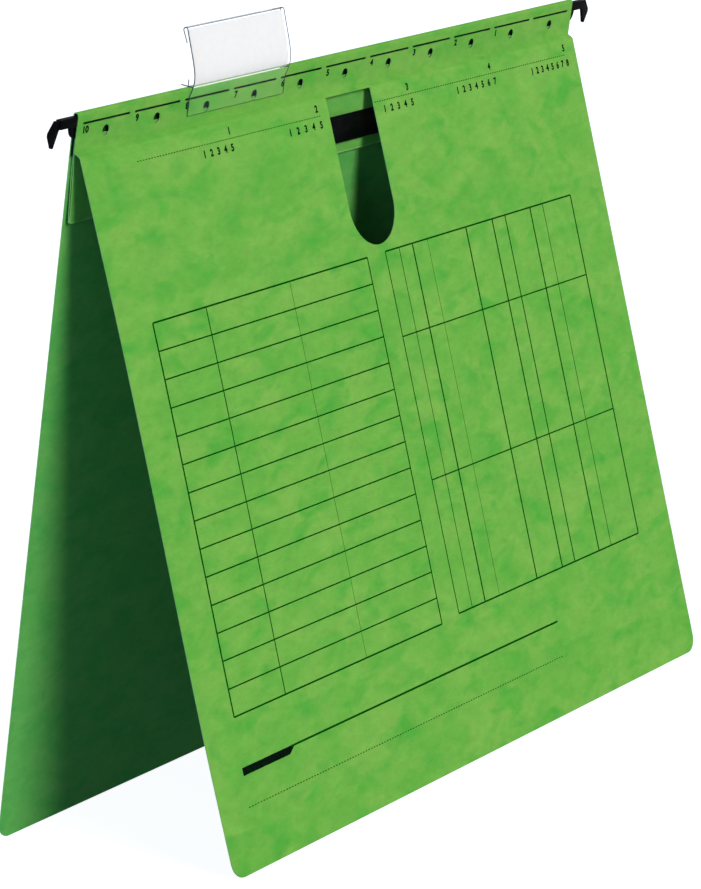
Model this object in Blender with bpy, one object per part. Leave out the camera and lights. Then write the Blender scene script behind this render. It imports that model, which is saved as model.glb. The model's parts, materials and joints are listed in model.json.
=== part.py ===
"""A4 suspension file with a prong fastener, standing half open like a tent.

Metres, +Z up, the front cover towards -Y. The header strip carries the rail, the hooks, the
index tab, the filing flap and the fastener, and leans in line with the back cover. The origin
lies on the table, midway between the two lower edges.
"""
from math import atan2, cos, degrees, radians, sin, tan

import bmesh
import bpy
from mathutils import Vector
from mathutils.geometry import interpolate_bezier

# Fits
FIT = 0.00025               # gap between pieces that lie on or in each other
CREASE_GAP = 0.00045        # from a fold's axis to the card on either side of it

# Covers
CARD = 0.00035              # board thickness
COVER_W = 0.318             # along the rail
COVER_H = 0.246             # from fold line to lower edge
CORNER_R = 0.006
LEAN = radians(11.3)        # each cover, out of the upright
FOLD_SPAN = 0.0042          # front fold line to back fold line
CUTOUT_W = 0.029            # finger cut-out in the front cover
CUTOUT_L = 0.0555

# Header strip
HEADER_H = 0.0155           # above the back fold line
LEDGE_UP = 0.0017           # where the front layer turns out towards the front fold
SLIT_COUNT = 11
SLIT_MARGIN = 0.0017        # card's end to the first slit's share of the width
SLIT_SPACE = 0.0036         # card left between two slits
SLIT_DOWN = 0.004           # middle of the slits, below the header's top
HOLE_D = 0.0034
HOLE_DOWN = 0.008

# Rail and hooks
RAIL_T = 0.001
RAIL_H = 0.0016
RAIL_DOWN = 0.0027          # middle of the rail, below the header's top
RAIL_GRIP = 0.008           # length of rail inside each hook
WEB_T = 0.001               # finger and shoulder
WEB_STEP = 0.00015          # web's edges inside the arm's faces
HOOK_REACH = 0.014          # beyond the card's end
ARM_T = 0.0021              # round the rail's end
ARM_H = 0.0032
ARM_DOWN = 0.0013           # arm's top below the header's top
ARM_END = 0.001             # beyond the rail's end
ARM_CUT = 0.0029            # slope off the hook's outer corner, along the arm
ARM_CUT_DOWN = 0.0039       # and down the finger
FINGER_ROOT = 0.0052        # finger's inner edge under the arm, from the outermost point
FINGER_BELLY = 0.0052       # from the arm's top to where the finger narrows
FINGER_IN = 0.0023          # tip's middle, from the outermost point
FINGER_TIP_R = 0.0007
FINGER_H = 0.0093           # from the arm's top to the tip
SHOULDER_W = 0.0028
SHOULDER_H = 0.0074

# Index tab and its label
TAB_W = 0.0575
TAB_T = 0.0004
TAB_UP = 0.0204             # plate above the header's top
TAB_BULGE = 0.00175         # plate in front of the header's face, at its fullest
TAB_BULGE_UP = 0.0045       # that height above the header's top
TAB_SWEEP = 0.0032          # plate's top edge behind the header's face
TAB_SLITS = (2, 3)          # slits that its tongues sit in, counted from the left
TAB_SHIFT = 0.0029          # along the slits, out of the middle of the two
TONGUE_W = 0.019
TONGUE_DEPTH = 0.0009       # behind the front layer
TAB_PULL = radians(25)      # the tongues rise forwards through the slits
APRON_LOW = 0.0098          # lower edge of the apron, below the header's top
ROLL_R = 0.00085            # rolled top edge
ROLL_LEG = 0.0046           # from there down behind the label
ROLL_CLOSE = 0.0012         # middle of the plate to the leg's end
LIP_L = 0.0034              # lip over the header's top, behind its front face
SPIKE_BACK = 0.0005         # label stop, behind the header's front face
SPIKE_H = 0.0024
LABEL_W = 0.0555
LABEL_T = 0.00025
LABEL_FOOT = 0.0011         # label's lower edge above the header's top

# Filing flap and fastener
FLAP_PLY = 0.00035          # the flap is two plies
FLAP_TUCK = 0.0065          # inside the header
FLAP_BEND = 0.0015          # below the back fold line
FLAP_DROP = 0.0225          # below the back fold line
FLAP_TILT = radians(2.5)    # away from the back cover
FLAP_INSET = 0.001          # from the card's ends
FLAP_CORNER_R = 0.0015
PUNCH_PITCH = 0.080         # between the prongs
PRONG_T = 0.0003
PRONG_W = 0.005
PRONG_L = 0.028             # folded out over the bar
BASE_L = 0.092
BASE_W = 0.0075
BAR_L = 0.162
BAR_W = 0.0102
BAR_T = 0.0015
BAR_DOWN = 0.01285          # middle of the bar, below the back fold line
REBATE = 0.0009             # step along the bar's back edges, each way
LOCK_L = 0.009
LOCK_WALL = 0.0006
LOCK_LIP = 0.0004
LOCK_REST = 0.0012          # clear of the prong's tip

CURVE_STEPS = 8

# Sizes that follow from these
HEADER_T = 2 * CARD + RAIL_T + 2 * FIT
FLAP_T = 2 * FLAP_PLY
HALF_W = COVER_W / 2
SLIT_PITCH = (COVER_W - 2 * SLIT_MARGIN) / SLIT_COUNT
SLIT_L = SLIT_PITCH - SLIT_SPACE
FOLD_Z = COVER_H * cos(LEAN) + CARD / 2 * sin(LEAN)
SLIT_H = TAB_T / cos(TAB_PULL) + CARD * tan(TAB_PULL) + 2 * FIT
SLIT_Z = HEADER_H - SLIT_DOWN
FACE_Y = CARD / 2 - HEADER_T            # header's front face, from the back fold's axis
BAR_Z = FLAP_BEND - BAR_DOWN            # in the flap's own frame, as are the next two
BAR_BACK = -FLAP_T / 2 - FIT
PRONG_Y = BAR_BACK - BAR_T - FIT - PRONG_T / 2


def clear_scene():
    for item in list(bpy.data.objects):
        bpy.data.objects.remove(item)


def material(name, colour, roughness, metallic=0.0, alpha=1.0):
    """A Principled BSDF of one colour."""
    made = bpy.data.materials.new(name)
    made.use_nodes = True
    shader = made.node_tree.nodes["Principled BSDF"]
    shader.inputs["Base Color"].default_value = (*colour, 1.0)
    shader.inputs["Roughness"].default_value = roughness
    shader.inputs["Metallic"].default_value = metallic
    shader.inputs["Alpha"].default_value = alpha
    return made


def empty(name, place, turn=0.0, parent=None):
    """A frame turned about X."""
    made = bpy.data.objects.new(name, None)
    bpy.context.scene.collection.objects.link(made)
    made.location = place
    made.rotation_euler.x = turn
    made.parent = parent
    return made


def solid(name, outline, depth, parent, look=None):
    """A flat outline pushed out along a vector."""
    form = bmesh.new()
    face = form.faces.new([form.verts.new(point) for point in outline])
    pushed = bmesh.ops.extrude_face_region(form, geom=[face])["geom"]
    bmesh.ops.translate(form, vec=depth, verts=[v for v in pushed if isinstance(v, bmesh.types.BMVert)])
    bmesh.ops.recalc_face_normals(form, faces=form.faces)
    mesh = bpy.data.meshes.new(name)
    form.to_mesh(mesh)
    form.free()
    made = bpy.data.objects.new(name, mesh)
    bpy.context.scene.collection.objects.link(made)
    made.parent = parent
    if look:
        mesh.materials.append(look)
    return made


def plate(name, outline, y_from, y_to, parent, look=None):
    """A flat piece from an outline of (x, z) points."""
    points = [Vector((x, y_from, z)) for x, z in outline]
    return solid(name, points, Vector((0, y_to - y_from, 0)), parent, look)


def section(name, outline, x_from, x_to, parent, look=None):
    """A piece of even cross-section along X, from an outline of (y, z) points."""
    points = [Vector((x_from, y, z)) for y, z in outline]
    return solid(name, points, Vector((x_to - x_from, 0, 0)), parent, look)


def rectangle(centre_a, centre_b, size_a, size_b):
    a, b = size_a / 2, size_b / 2
    corners = ((-a, -b), (a, -b), (a, b), (-a, b))
    return [(centre_a + da, centre_b + db) for da, db in corners]


def arc(centre_a, centre_b, radius, start, end, steps=CURVE_STEPS):
    turns = [radians(start + (end - start) * i / steps) for i in range(steps + 1)]
    return [(centre_a + radius * cos(t), centre_b + radius * sin(t)) for t in turns]


def across(step):
    return Vector((-step.y, step.x)).normalized()


def offset(path, distance):
    """The path moved to its left by a distance, with mitred corners."""
    points = [Vector(point) for point in path]
    steps = [b - a for a, b in zip(points, points[1:])]
    moved = []
    for i, here in enumerate(points):
        before = across(steps[max(i - 1, 0)])
        after = across(steps[min(i, len(steps) - 1)])
        mitre = before + after
        moved.append(here + mitre * (distance / mitre.dot(before)))
    return [tuple(point) for point in moved]


def ribbon(path, thickness):
    """The outline of a strip of even thickness along a path."""
    return offset(path, thickness / 2) + offset(path, -thickness / 2)[::-1]


def smooth(points, steps=CURVE_STEPS):
    """Points on a smooth curve through the given ones."""
    knots = [Vector(point) for point in points]
    first = 2 * knots[0] - knots[1]
    last = 2 * knots[-1] - knots[-2]
    padded = [first, *knots, last]
    curve = []
    for before, here, there, after in zip(padded, padded[1:], padded[2:], padded[3:]):
        reach_out = here + (there - before) / 6
        reach_in = there - (after - here) / 6
        curve += interpolate_bezier(here, reach_out, reach_in, there, steps + 1)[:-1]
    return [tuple(point) for point in (*curve, knots[-1])]


def combine(target, helper, operation):
    """Cut or join with a helper shape, which is not a piece of the object."""
    helper.hide_render = True
    helper.display_type = "WIRE"
    change = target.modifiers.new(helper.name, "BOOLEAN")
    change.operation = operation
    change.solver = "EXACT"
    change.object = helper


def cover_outline(cutout):
    """A cover below its fold line, with round lower corners and perhaps the finger cut-out."""
    top, low = -CREASE_GAP, -COVER_H
    x, z = HALF_W - CORNER_R, low + CORNER_R
    outline = [(-HALF_W, top)]
    outline += arc(-x, z, CORNER_R, 180, 270)
    outline += arc(x, z, CORNER_R, 270, 360)
    outline.append((HALF_W, top))
    if cutout:
        radius = CUTOUT_W / 2
        outline.append((radius, top))
        outline += arc(0, radius - CUTOUT_L, radius, 0, -180, 2 * CURVE_STEPS)
        outline.append((-radius, top))
    return outline


def covers(front_fold, back_fold, look_front, look_back):
    plate("front_cover", cover_outline(True), -CARD / 2, CARD / 2, front_fold, look_front)
    plate("back_cover", cover_outline(False), -CARD / 2, CARD / 2, back_fold, look_back)


def spine_strip(frame, look):
    """One strip of card folded over the rail, with its front layer turned out below."""
    front_y = FACE_Y + CARD / 2
    fold_r = (HEADER_T - CARD) / 2
    fold_z = HEADER_H - CARD / 2 - fold_r
    front_fold = Vector((-FOLD_SPAN * cos(LEAN), FOLD_SPAN * sin(LEAN)))
    bend = Vector((front_y, LEDGE_UP))
    ledge = front_fold + (bend - front_fold).normalized() * CREASE_GAP
    path = [(0, CREASE_GAP), *arc(-fold_r, fold_z, fold_r, 0, 180), tuple(bend), tuple(ledge)]
    strip = section("spine_strip", ribbon(path, CARD), -HALF_W, HALF_W, frame, look)
    y_from, y_to = FACE_Y - FIT, FACE_Y + CARD + FIT / 2
    for i in range(SLIT_COUNT):
        x = slit_x(i)
        slit = rectangle(x, SLIT_Z, SLIT_L, SLIT_H)
        combine(strip, plate(f"slit_cut_{i}", slit, y_from, y_to, frame), "DIFFERENCE")
        hole = arc(x, HEADER_H - HOLE_DOWN, HOLE_D / 2, 0, 360, 2 * CURVE_STEPS)[:-1]
        combine(strip, plate(f"hole_cut_{i}", hole, y_from, y_to, frame), "DIFFERENCE")


def slit_x(index):
    return (index - (SLIT_COUNT - 1) / 2) * SLIT_PITCH


def suspension_rail(frame, look):
    y = FACE_Y + HEADER_T / 2
    end = HALF_W + FIT + RAIL_GRIP
    bar = rectangle(y, HEADER_H - RAIL_DOWN, RAIL_T, RAIL_H)
    section("suspension_rail", bar, -end, end, frame, look)


def hook(name, side, frame, look):
    """A hook that the rail's end is pushed into; side is -1 on the left and 1 on the right."""
    top = HEADER_H - ARM_DOWN
    under = top - ARM_H
    reach = FIT + HOOK_REACH
    y = FACE_Y + HEADER_T / 2
    arm = [(FIT, top), (FIT + RAIL_GRIP + ARM_END, top), (FIT + RAIL_GRIP + ARM_END, under), (FIT, under)]
    body = plate(name, beyond(side, arm), y - ARM_T / 2, y + ARM_T / 2, frame, look)
    root, upper, inner = FIT + WEB_STEP, top - WEB_STEP, under + WEB_STEP
    web = [(root, upper), (reach - ARM_CUT, upper), (reach, top - ARM_CUT_DOWN), (reach, top - FINGER_BELLY)]
    web += arc(reach - FINGER_IN, top - FINGER_H + FINGER_TIP_R, FINGER_TIP_R, 0, -180)
    web.append((reach - FINGER_ROOT, inner))
    drop = SHOULDER_H - ARM_H
    web += [(root + SHOULDER_W * a, inner + drop * b) for a, b in arc(0, 0, 1, 0, -90)]
    combine(body, plate(f"{name}_web", beyond(side, web), y - WEB_T / 2, y + WEB_T / 2, frame), "UNION")
    socket = rectangle(y, HEADER_H - RAIL_DOWN, RAIL_T + 2 * FIT, RAIL_H + 2 * FIT)
    x_from, x_to = side * HALF_W, side * (HALF_W + 2 * FIT + RAIL_GRIP)
    combine(body, section(f"{name}_socket", socket, x_from, x_to, frame), "DIFFERENCE")


def beyond(side, outline):
    """An outline measured outwards from the card's end."""
    return [(side * (HALF_W + x), z) for x, z in outline]


def tab_curve():
    """The tab's plate as (y, z) points, from its tongues' root up to the rolled edge."""
    front_y = FACE_Y - FIT - TAB_T / 2
    root_z = SLIT_Z + (FACE_Y + CARD / 2 - front_y) * tan(TAB_PULL)
    full = (FACE_Y - TAB_BULGE, HEADER_H + TAB_BULGE_UP)
    top = (FACE_Y + TAB_SWEEP, HEADER_H + TAB_UP - ROLL_R)
    return smooth([(front_y, root_z), full, top], 2 * CURVE_STEPS)


def height_on(curve, z):
    """The point of a rising curve at one height."""
    for low, high in zip(curve, curve[1:]):
        if low[1] <= z <= high[1]:
            return Vector(low).lerp(Vector(high), (z - low[1]) / (high[1] - low[1]))
    return Vector(curve[-1])


def index_tab(frame, look):
    """A clear plate with a rolled top, an apron, a lip over the header and two tongues."""
    centre = sum(slit_x(i) for i in TAB_SLITS) / len(TAB_SLITS) + TAB_SHIFT
    x_from, x_to = centre - TAB_W / 2, centre + TAB_W / 2
    curve = tab_curve()
    rear = -across(Vector(curve[-1]) - Vector(curve[-2]))
    roll = Vector(curve[-1]) + rear * ROLL_R
    turn = degrees(atan2(-rear.y, -rear.x))
    apron = (curve[0][0], HEADER_H - APRON_LOW)
    leg_end = height_on(offset(curve, -ROLL_CLOSE), curve[-1][1] - ROLL_LEG)
    path = [apron, *curve, *arc(*roll, ROLL_R, turn, turn - 180)[1:], tuple(leg_end)]
    tab = section("index_tab", ribbon(path, TAB_T), x_from, x_to, frame, look)
    lip_z = HEADER_H + FIT + TAB_T / 2
    lip = [tuple(height_on(curve, lip_z)), (FACE_Y + LIP_L, lip_z)]
    spike = [(FACE_Y + SPIKE_BACK, lip_z), (FACE_Y + SPIKE_BACK, lip_z + SPIKE_H)]
    combine(tab, section("tab_lip", ribbon(lip, TAB_T), x_from, x_to, frame), "UNION")
    combine(tab, section("tab_stop", ribbon(spike, TAB_T), x_from, x_to, frame), "UNION")
    gate = Vector((FACE_Y + CARD / 2, SLIT_Z))
    inward = Vector((cos(TAB_PULL), -sin(TAB_PULL)))
    inner = gate + inward * (CARD / 2 + TONGUE_DEPTH) / cos(TAB_PULL)
    tongue = ribbon([curve[0], tuple(inner)], TAB_T)
    for i in TAB_SLITS:
        x = slit_x(i) - TONGUE_W / 2
        combine(tab, section(f"tab_tongue_{i}", tongue, x, x + TONGUE_W, frame), "UNION")
    return centre


def tab_label(centre, frame, look):
    """A paper strip behind the plate, held by the rolled edge and the stop."""
    foot = HEADER_H + LABEL_FOOT
    path = offset(tab_curve(), -TAB_T / 2 - FIT - LABEL_T / 2)
    path = [tuple(height_on(path, foot))] + [point for point in path if point[1] > foot]
    x_from, x_to = centre - LABEL_W / 2, centre + LABEL_W / 2
    section("tab_label", ribbon(path, LABEL_T), x_from, x_to, frame, look)


def filing_flap(header, frame, look):
    """Two glued plies, tucked into the header above and free below, with the prongs' slots."""
    y = FACE_Y + HEADER_T / 2
    bend = (y, -FLAP_BEND)
    end = (y - (FLAP_DROP - FLAP_BEND) * tan(FLAP_TILT), -FLAP_DROP)
    x = HALF_W - FLAP_INSET
    flap = section("filing_flap", ribbon([(y, FLAP_TUCK), bend, end], FLAP_T), -x, x, header, look)
    low = (FLAP_BEND - FLAP_DROP) / cos(FLAP_TILT)
    for side in (-1, 1):
        outline = arc(x - FLAP_CORNER_R, low + FLAP_CORNER_R, FLAP_CORNER_R, 0, -90)
        outline += [(x - FLAP_CORNER_R, low - FLAP_T), (x + FLAP_T, low - FLAP_T)]
        outline.append((x + FLAP_T, low + FLAP_CORNER_R))
        corner = [(side * a, b) for a, b in outline]
        combine(flap, plate(f"flap_corner_{side}", corner, -FLAP_T, FLAP_T, frame), "DIFFERENCE")
    prong_slots(flap, frame, -FLAP_T, FLAP_T)


def prong_slots(piece, frame, y_from, y_to):
    for side in (-1, 1):
        slot = rectangle(side * PUNCH_PITCH / 2, BAR_Z, PRONG_T + 2 * FIT, PRONG_W + 2 * FIT)
        cutter = plate(f"{piece.name}_slot_{side}", slot, y_from, y_to, frame)
        combine(piece, cutter, "DIFFERENCE")


def prong_strip(frame, look):
    """A metal strip behind the flap whose two tongues pass forwards and fold out over the bar."""
    base_y = FLAP_T / 2 + FIT
    base = rectangle(0, BAR_Z, BASE_L, BASE_W)
    strip = plate("prong_strip", base, base_y, base_y + PRONG_T, frame, look)
    for side in (-1, 1):
        x = side * PUNCH_PITCH / 2
        path = [(x, base_y + PRONG_T / 2), (x, PRONG_Y), (x + side * PRONG_L, PRONG_Y)]
        points = [Vector((px, py, BAR_Z - PRONG_W / 2)) for px, py in ribbon(path, PRONG_T)]
        tongue = solid(f"prong_{side}", points, Vector((0, 0, PRONG_W)), frame)
        combine(strip, tongue, "UNION")


def compressor_bar(frame, look):
    """The bar that holds sheets down, stepped along its back edges for the locks."""
    half, inner = BAR_W / 2, BAR_W / 2 - REBATE
    step_y = BAR_BACK - REBATE
    side = [(BAR_BACK - BAR_T, half), (step_y, half), (step_y, inner), (BAR_BACK, inner)]
    outline = side + [(y, -z) for y, z in reversed(side)]
    placed = [(y, BAR_Z + z) for y, z in outline]
    bar = section("compressor_bar", placed, -BAR_L / 2, BAR_L / 2, frame, look)
    prong_slots(bar, frame, BAR_BACK - BAR_T - FIT, BAR_BACK + FIT)


def bar_lock(name, side, frame, look):
    """A sleeve that slides along the bar and over the prong's tip."""
    wall_in = PRONG_Y - PRONG_T / 2 - FIT
    half_in = BAR_W / 2 + FIT
    half_out = half_in + LOCK_WALL
    lip_front = BAR_BACK - REBATE + FIT
    lip_back = lip_front + LOCK_LIP
    lip_z = BAR_W / 2 - REBATE + FIT
    half = [(wall_in - LOCK_WALL, half_out), (lip_back, half_out), (lip_back, lip_z)]
    half += [(lip_front, lip_z), (lip_front, half_in), (wall_in, half_in)]
    outline = half + [(y, -z) for y, z in reversed(half)]
    placed = [(y, BAR_Z + z) for y, z in outline]
    near = PUNCH_PITCH / 2 + PRONG_L + LOCK_REST
    section(name, placed, side * near, side * (near + LOCK_L), frame, look)


def main():
    clear_scene()
    card = material("green_card", (0.14, 0.45, 0.07), 0.85)
    inner_card = material("green_card_back", (0.13, 0.43, 0.07), 0.85)
    strip_card = material("green_card_strip", (0.14, 0.44, 0.07), 0.85)
    flap_card = material("green_card_flap", (0.15, 0.46, 0.08), 0.85)
    rail_steel = material("rail_steel", (0.45, 0.45, 0.46), 0.35, 1.0)
    hook_black = material("hook_black", (0.008, 0.008, 0.009), 0.4)
    clear = material("clear_plastic", (0.92, 0.95, 0.97), 0.08, alpha=0.3)
    paper = material("label_paper", (0.88, 0.87, 0.9), 0.9)
    prong_black = material("prong_black", (0.01, 0.01, 0.011), 0.4, 0.6)
    bar_black = material("bar_black", (0.008, 0.008, 0.009), 0.5)
    lock_black = material("lock_black", (0.012, 0.012, 0.013), 0.45)

    front_fold = empty("front_fold", (0, -FOLD_SPAN / 2, FOLD_Z), -LEAN)
    back_fold = empty("back_fold", (0, FOLD_SPAN / 2, FOLD_Z), LEAN)
    header = empty("header_frame", (0, FOLD_SPAN / 2, FOLD_Z), LEAN)
    flap = empty("flap_frame", (0, FACE_Y + HEADER_T / 2, -FLAP_BEND), -FLAP_TILT, header)

    covers(front_fold, back_fold, card, inner_card)
    spine_strip(header, strip_card)
    suspension_rail(header, rail_steel)
    hook("hook_left", -1, header, hook_black)
    hook("hook_right", 1, header, hook_black)
    tab_centre = index_tab(header, clear)
    tab_label(tab_centre, header, paper)
    filing_flap(header, flap, flap_card)
    prong_strip(flap, prong_black)
    compressor_bar(flap, bar_black)
    bar_lock("bar_lock_left", -1, flap, lock_black)
    bar_lock("bar_lock_right", 1, flap, lock_black)


main()
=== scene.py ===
# %% [markdown]
# # Dressing a suspension file
#
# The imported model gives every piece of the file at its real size: two covers, a folded header with
# a rail and two hooks, an index tab, a filing flap and a prong fastener. This lesson keeps that
# frame still and makes the looks: board that folds instead of plates with gaps, moulded edges on
# the plastic, ink on the board, and the light and camera of the photograph.
#
# Loading comes first, because everything else is placed from what the frame holds.

import json
from math import cos, pi, radians, sin

import bpy
from mathutils import Matrix, Quaternion, Vector


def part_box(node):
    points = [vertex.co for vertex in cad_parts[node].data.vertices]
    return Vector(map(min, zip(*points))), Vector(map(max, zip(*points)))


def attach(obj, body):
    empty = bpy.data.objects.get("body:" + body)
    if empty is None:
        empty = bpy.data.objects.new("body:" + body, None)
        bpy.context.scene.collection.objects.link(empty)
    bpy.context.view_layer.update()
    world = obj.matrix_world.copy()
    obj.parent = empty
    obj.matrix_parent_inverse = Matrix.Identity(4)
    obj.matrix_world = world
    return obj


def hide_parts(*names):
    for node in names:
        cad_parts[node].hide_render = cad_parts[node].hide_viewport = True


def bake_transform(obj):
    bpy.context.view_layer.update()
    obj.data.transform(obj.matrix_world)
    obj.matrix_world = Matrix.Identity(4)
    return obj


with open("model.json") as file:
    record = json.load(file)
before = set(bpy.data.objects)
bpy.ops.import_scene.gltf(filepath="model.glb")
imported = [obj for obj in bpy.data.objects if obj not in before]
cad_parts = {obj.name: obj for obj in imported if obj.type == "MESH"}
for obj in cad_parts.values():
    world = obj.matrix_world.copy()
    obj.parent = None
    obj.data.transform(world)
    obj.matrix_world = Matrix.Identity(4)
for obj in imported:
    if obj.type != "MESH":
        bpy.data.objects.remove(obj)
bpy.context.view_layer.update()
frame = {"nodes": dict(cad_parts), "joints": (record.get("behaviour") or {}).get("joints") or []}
nodes = frame["nodes"]
joints = {joint["name"]: joint for joint in frame["joints"]}

# %% [markdown]
# ## Where things are
#
# The file is two leaning planes. Each cover turns about a fold line, and the joints of the frame
# say where those lines run. A matrix for each plane lets us model everything flat and upright, with
# x along the rail and z up the board, and lay it in place at the end. The header leans with the
# back cover, and the flap inside it hangs a little forward.

# %% Planes and sizes
MM = 0.001
LEAN = radians(11.3)
CARD = 0.35 * MM
COVER_H = 246 * MM
CORNER_R = 6 * MM
HEADER_T = 2.2 * MM
HEADER_H = 15.5 * MM
LEDGE_UP = 1.7 * MM
FLAP_BEND = 1.5 * MM
FLAP_TILT = radians(2.5)

front_fold = Vector(joints["front_cover_fold"]["pos_m"])
back_fold = Vector(joints["back_cover_fold"]["pos_m"])
FACE_Y = CARD / 2 - HEADER_T
MIDDLE_Y = FACE_Y + HEADER_T / 2
FRONT = Matrix.Translation(front_fold) @ Matrix.Rotation(-LEAN, 4, "X")
HEADER = Matrix.Translation(back_fold) @ Matrix.Rotation(LEAN, 4, "X")
flap_hangs = Matrix.Translation((0, MIDDLE_Y, -FLAP_BEND)) @ Matrix.Rotation(-FLAP_TILT, 4, "X")
FLAP = HEADER @ flap_hangs
HALF_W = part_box("spine_strip")[1].x
print("half width of the board:", round(HALF_W / MM, 2), "mm")

# %% [markdown]
# ## Hands for the work
#
# In Blender an operator acts on whatever is selected, and loading has left the frame selected. So
# each step starts by letting everything go and picking one piece. Points are chosen by where they
# lie, as one would box-select them, and a finished piece has its place applied to its mesh.

# %% Picking and finishing
def leave_edit():
    """Back to object mode, with the selection as it is."""
    bpy.ops.object.mode_set(mode="OBJECT")


def let_go():
    """Leave edit mode and select nothing."""
    if bpy.context.object and bpy.context.object.mode != "OBJECT":
        leave_edit()
    bpy.ops.object.select_all(action="DESELECT")


def pick(*pieces):
    """Select these pieces, the first of them active."""
    let_go()
    for piece in pieces:
        piece.select_set(True)
    bpy.context.view_layer.objects.active = pieces[0]


def edit(piece, wanted):
    """Go into edit mode with the points selected that pass a test of their place."""
    pick(piece)
    bpy.ops.object.mode_set(mode="EDIT")
    bpy.ops.mesh.select_mode(type="VERT")
    bpy.ops.mesh.select_all(action="DESELECT")
    leave_edit()
    for point in piece.data.vertices:
        point.select = wanted(point.co)
    bpy.ops.object.mode_set(mode="EDIT")


def everything(place):
    return True


def apply_modifier(piece, kind, **settings):
    """Add a modifier, set it and apply it."""
    pick(piece)
    modifier = piece.modifiers.new(kind.lower(), kind)
    for name, value in settings.items():
        setattr(modifier, name, value)
    bpy.ops.object.modifier_apply(modifier=modifier.name)


def join(name, pieces):
    """Make one piece of several; it takes the first one's place."""
    pick(*pieces)
    bpy.ops.object.join()
    joined = bpy.context.object
    joined.name = name
    return joined


def lay(piece, plane):
    """Put a piece that was modelled upright onto its plane, with the place in its mesh."""
    piece.matrix_world = plane @ piece.matrix_world
    pick(piece)
    bpy.ops.object.transform_apply(location=True, rotation=True, scale=True)
    return piece


# %% [markdown]
# ## Folding
#
# Board is worked by folding and punching. A folded strip starts as a plane, of which one edge is
# kept and pulled along the fold's path, one extrusion for each step.

# %% Folding
CORNER_STEPS = 8


def folded_strip(name, path, x_from, x_to):
    """A sheet with no thickness yet: an edge along X, pulled along a path of (y, z) points."""
    let_go()
    width = x_to - x_from
    bpy.ops.mesh.primitive_plane_add(size=width, location=((x_from + x_to) / 2, width / 2, 0))
    strip = bpy.context.object
    strip.name = name
    bpy.ops.object.transform_apply(location=True)
    edit(strip, lambda place: place.y > width / 2)
    bpy.ops.mesh.delete(type="VERT")
    bpy.ops.mesh.select_all(action="SELECT")
    bpy.ops.transform.translate(value=(0, *path[0]))
    for here, there in zip(path, path[1:]):
        step = (0, there[0] - here[0], there[1] - here[1])
        bpy.ops.mesh.extrude_region_move(TRANSFORM_OT_translate={"value": step})
    bpy.ops.mesh.select_all(action="SELECT")
    bpy.ops.mesh.normals_make_consistent(inside=False)
    leave_edit()
    return strip


def slice_sheet(piece, places):
    """Cut lines across a sheet at these x places, so that it can bow."""
    edit(piece, everything)
    for x in places:
        bpy.ops.mesh.select_all(action="SELECT")
        bpy.ops.mesh.bisect(plane_co=(x, 0, 0), plane_no=(1, 0, 0))
    leave_edit()


def round_corners(piece, radius, wanted):
    """Round a sheet's corners where a test of their place holds."""
    edit(piece, wanted)
    bpy.ops.mesh.bevel(affect="VERTICES", offset=radius, segments=CORNER_STEPS)
    leave_edit()


def arc(centre, radius, start, end, steps):
    """Points of an arc in degrees, counted anticlockwise."""
    turns = [radians(start + (end - start) * i / steps) for i in range(steps + 1)]
    return [(centre[0] + radius * cos(t), centre[1] + radius * sin(t)) for t in turns]


# %% [markdown]
# ## Punching
#
# Blocks and rods are the punches: they start as a cube or a cylinder at their real size, and a
# Boolean takes them out. It hands on the punch's material, so cut faces get a look of their own.

# %% Punching
ROD_SIDES = 32


def block(name, low, high):
    """A box between two corners."""
    let_go()
    low, high = Vector(low), Vector(high)
    bpy.ops.mesh.primitive_cube_add(size=1, location=(low + high) / 2, scale=high - low)
    made = bpy.context.object
    made.name = name
    bpy.ops.object.transform_apply(location=True, rotation=True, scale=True)
    return made


def rod(name, x, z, radius, y_from, y_to):
    """A round punch along Y."""
    let_go()
    centre = (x, (y_from + y_to) / 2, z)
    bpy.ops.mesh.primitive_cylinder_add(vertices=ROD_SIDES, radius=radius, depth=y_to - y_from,
                                        location=centre, rotation=(pi / 2, 0, 0))
    made = bpy.context.object
    made.name = name
    bpy.ops.object.transform_apply(location=True, rotation=True, scale=True)
    return made


def punch(piece, punches, cut_look):
    """Take the punches out of a piece; the cut faces get their own look."""
    tool = join("punch", punches)
    tool.data.materials.clear()
    tool.data.materials.append(cut_look)
    apply_modifier(piece, "BOOLEAN", object=tool, solver="EXACT", material_mode="TRANSFER")
    bpy.data.objects.remove(tool)


# %% [markdown]
# ## Colours and nodes
#
# A finish is a small network of nodes, and the same few come again and again: noise, a stretch of
# its range, a mix of two colours, some arithmetic. One helper for each keeps the finishes short.
# Colours are written as one reads them off a screen, and made linear for the shaders.

# %% Node helpers
def tone(red, green, blue):
    """A colour written as on a screen, 0 to 255, made linear."""
    shares = [value / 255 for value in (red, green, blue)]
    return (*[s / 12.92 if s <= 0.04045 else ((s + 0.055) / 1.055) ** 2.4 for s in shares], 1.0)


def new_group(name, inputs, outputs):
    """A shader node group with named sockets; returns it with its two end nodes."""
    group = bpy.data.node_groups.new(name, "ShaderNodeTree")
    for label, kind in inputs:
        group.interface.new_socket(label, in_out="INPUT", socket_type=kind)
    for label, kind in outputs:
        group.interface.new_socket(label, in_out="OUTPUT", socket_type=kind)
    return group, group.nodes.new("NodeGroupInput"), group.nodes.new("NodeGroupOutput")


def noise(tree, vector, scale, detail=3.0, roughness=0.55, distortion=0.0):
    """A noise texture on a vector; gives its value socket."""
    node = tree.nodes.new("ShaderNodeTexNoise")
    node.inputs["Scale"].default_value = scale
    node.inputs["Detail"].default_value = detail
    node.inputs["Roughness"].default_value = roughness
    node.inputs["Distortion"].default_value = distortion
    tree.links.new(vector, node.inputs["Vector"])
    return node.outputs["Fac"]


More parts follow.
